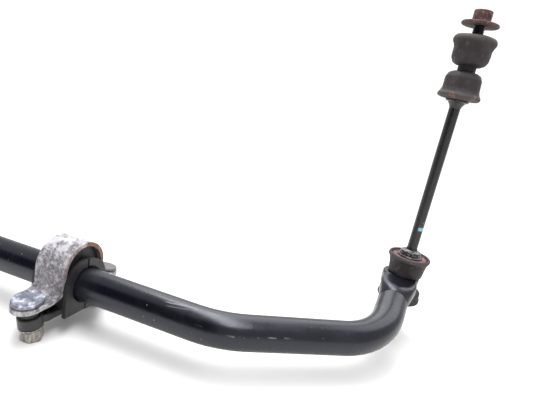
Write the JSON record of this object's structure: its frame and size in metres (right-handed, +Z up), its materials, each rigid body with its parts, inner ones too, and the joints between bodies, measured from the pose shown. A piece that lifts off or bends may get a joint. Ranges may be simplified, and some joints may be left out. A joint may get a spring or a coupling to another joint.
{
  "type": "sway bar",
  "caption": "Round steel anti-roll bar with two bends each side, rubber-bushed frame clamps and upright end links with rubber grommets.",
  "frame": {"origin": "middle of the footprint on the surface that the clamp nuts stand on", "axes": "+X along the bar, +Y the way the arms reach, +Z up along the end links"},
  "size_m": [1.2414, 0.2947, 0.3835],
  "materials": {
    "bar_paint": "satin black paint, chipped and scratched",
    "link_paint": "satin black coating",
    "plate_paint": "worn black paint",
    "galvanised": "mottled oxidised galvanised steel with rust at the edge",
    "zinc_bolt": "mottled zinc with white bloom",
    "nut_steel": "dull plated steel",
    "spacer_black": "matt black",
    "clamp_rubber": "matt black rubber",
    "link_rubber": "worn grey-black rubber with brown tints",
    "rust_red": "reddish rusty steel",
    "rust_brown": "dark reddish-brown rust"
  },
  "bodies": {
    "bar": {"sway_bar": "bar_paint"},
    "clamp_left": {"clamp_strap_left": "galvanised", "clamp_base_plate_left": "plate_paint", "clamp_bushing_left": "clamp_rubber", "clamp_bolts_left": "zinc_bolt", "clamp_spacers_left": "spacer_black", "clamp_nuts_left": "nut_steel"},
    "eye_rubber_left": {"eye_upper_bushing_left": "link_rubber", "eye_lower_bushing_left": "link_rubber"},
    "link_left": {"link_rod_left": "link_paint", "eye_upper_washer_left": "rust_red", "eye_lower_washer_left": "rust_brown", "eye_lower_nut_left": "rust_brown", "top_lower_washer_left": "rust_brown", "top_lower_bushing_left": "link_rubber", "top_upper_bushing_left": "link_rubber"},
    "top_washer_left": {"top_washer_left": "rust_brown"},
    "top_nut_left": {"top_nut_left": "rust_brown"},
    "clamp_right": {"clamp_strap_right": "galvanised", "clamp_base_plate_right": "plate_paint", "clamp_bushing_right": "clamp_rubber", "clamp_bolts_right": "zinc_bolt", "clamp_spacers_right": "spacer_black", "clamp_nuts_right": "nut_steel"},
    "eye_rubber_right": {"eye_upper_bushing_right": "link_rubber", "eye_lower_bushing_right": "link_rubber"},
    "link_right": {"link_rod_right": "link_paint", "eye_upper_washer_right": "rust_red", "eye_lower_washer_right": "rust_brown", "eye_lower_nut_right": "rust_brown", "top_lower_washer_right": "rust_brown", "top_lower_bushing_right": "link_rubber", "top_upper_bushing_right": "link_rubber"},
    "top_washer_right": {"top_washer_right": "rust_brown"},
    "top_nut_right": {"top_nut_right": "rust_brown"}
  },
  "joints": [
    {"name": "clamp_left_turn", "type": "hinge", "parent": "bar", "child": "clamp_left", "pos_m": [-0.275, -0.08185, 0.04664], "axis": [1, 0, 0], "range_deg": [-30, 30]},
    {"name": "link_left_lean", "type": "hinge", "parent": "bar", "child": "eye_rubber_left", "pos_m": [-0.59, 0.12155, 0.07193], "axis": [0, 1, 0], "range_deg": [-5, 5], "stiffness_Nm_per_rad": 40, "deforming": ["eye_upper_bushing_left", "eye_lower_bushing_left"]},
    {"name": "link_left_swing", "type": "hinge", "parent": "eye_rubber_left", "child": "link_left", "pos_m": [-0.59, 0.12155, 0.07193], "axis": [1, 0, 0], "range_deg": [-12, 12], "stiffness_Nm_per_rad": 40, "deforming": ["eye_upper_bushing_left", "eye_lower_bushing_left"]},
    {"name": "washer_left_slide", "type": "slide", "parent": "link_left", "child": "top_washer_left", "axis": [-0.0283, 0, 0.9996], "range_m": [-0.0075, 0]},
    {"name": "nut_left_turn", "type": "hinge", "parent": "top_washer_left", "child": "top_nut_left", "pos_m": [-0.59848, 0.12155, 0.37182], "axis": [-0.0283, 0, 0.9996], "range_deg": [-1543, 0]},
    {"name": "clamp_right_turn", "type": "hinge", "parent": "bar", "child": "clamp_right", "pos_m": [0.275, -0.08185, 0.04664], "axis": [1, 0, 0], "range_deg": [-30, 30]},
    {"name": "link_right_lean", "type": "hinge", "parent": "bar", "child": "eye_rubber_right", "pos_m": [0.59, 0.12155, 0.07193], "axis": [0, 1, 0], "range_deg": [-5, 5], "stiffness_Nm_per_rad": 40, "deforming": ["eye_upper_bushing_right", "eye_lower_bushing_right"]},
    {"name": "link_right_swing", "type": "hinge", "parent": "eye_rubber_right", "child": "link_right", "pos_m": [0.59, 0.12155, 0.07193], "axis": [1, 0, 0], "range_deg": [-12, 12], "stiffness_Nm_per_rad": 40, "deforming": ["eye_upper_bushing_right", "eye_lower_bushing_right"]},
    {"name": "washer_right_slide", "type": "slide", "parent": "link_right", "child": "top_washer_right", "axis": [0.0283, 0, 0.9996], "range_m": [-0.0075, 0]},
    {"name": "nut_right_turn", "type": "hinge", "parent": "top_washer_right", "child": "top_nut_right", "pos_m": [0.59848, 0.12155, 0.37182], "axis": [0.0283, 0, 0.9996], "range_deg": [-1543, 0]}
  ],
  "couplings": [
    {"joint": "nut_left_turn", "follows": "washer_left_slide", "rad_per_m": 3590.4},
    {"joint": "nut_right_turn", "follows": "washer_right_slide", "rad_per_m": 3590.4}
  ]
}
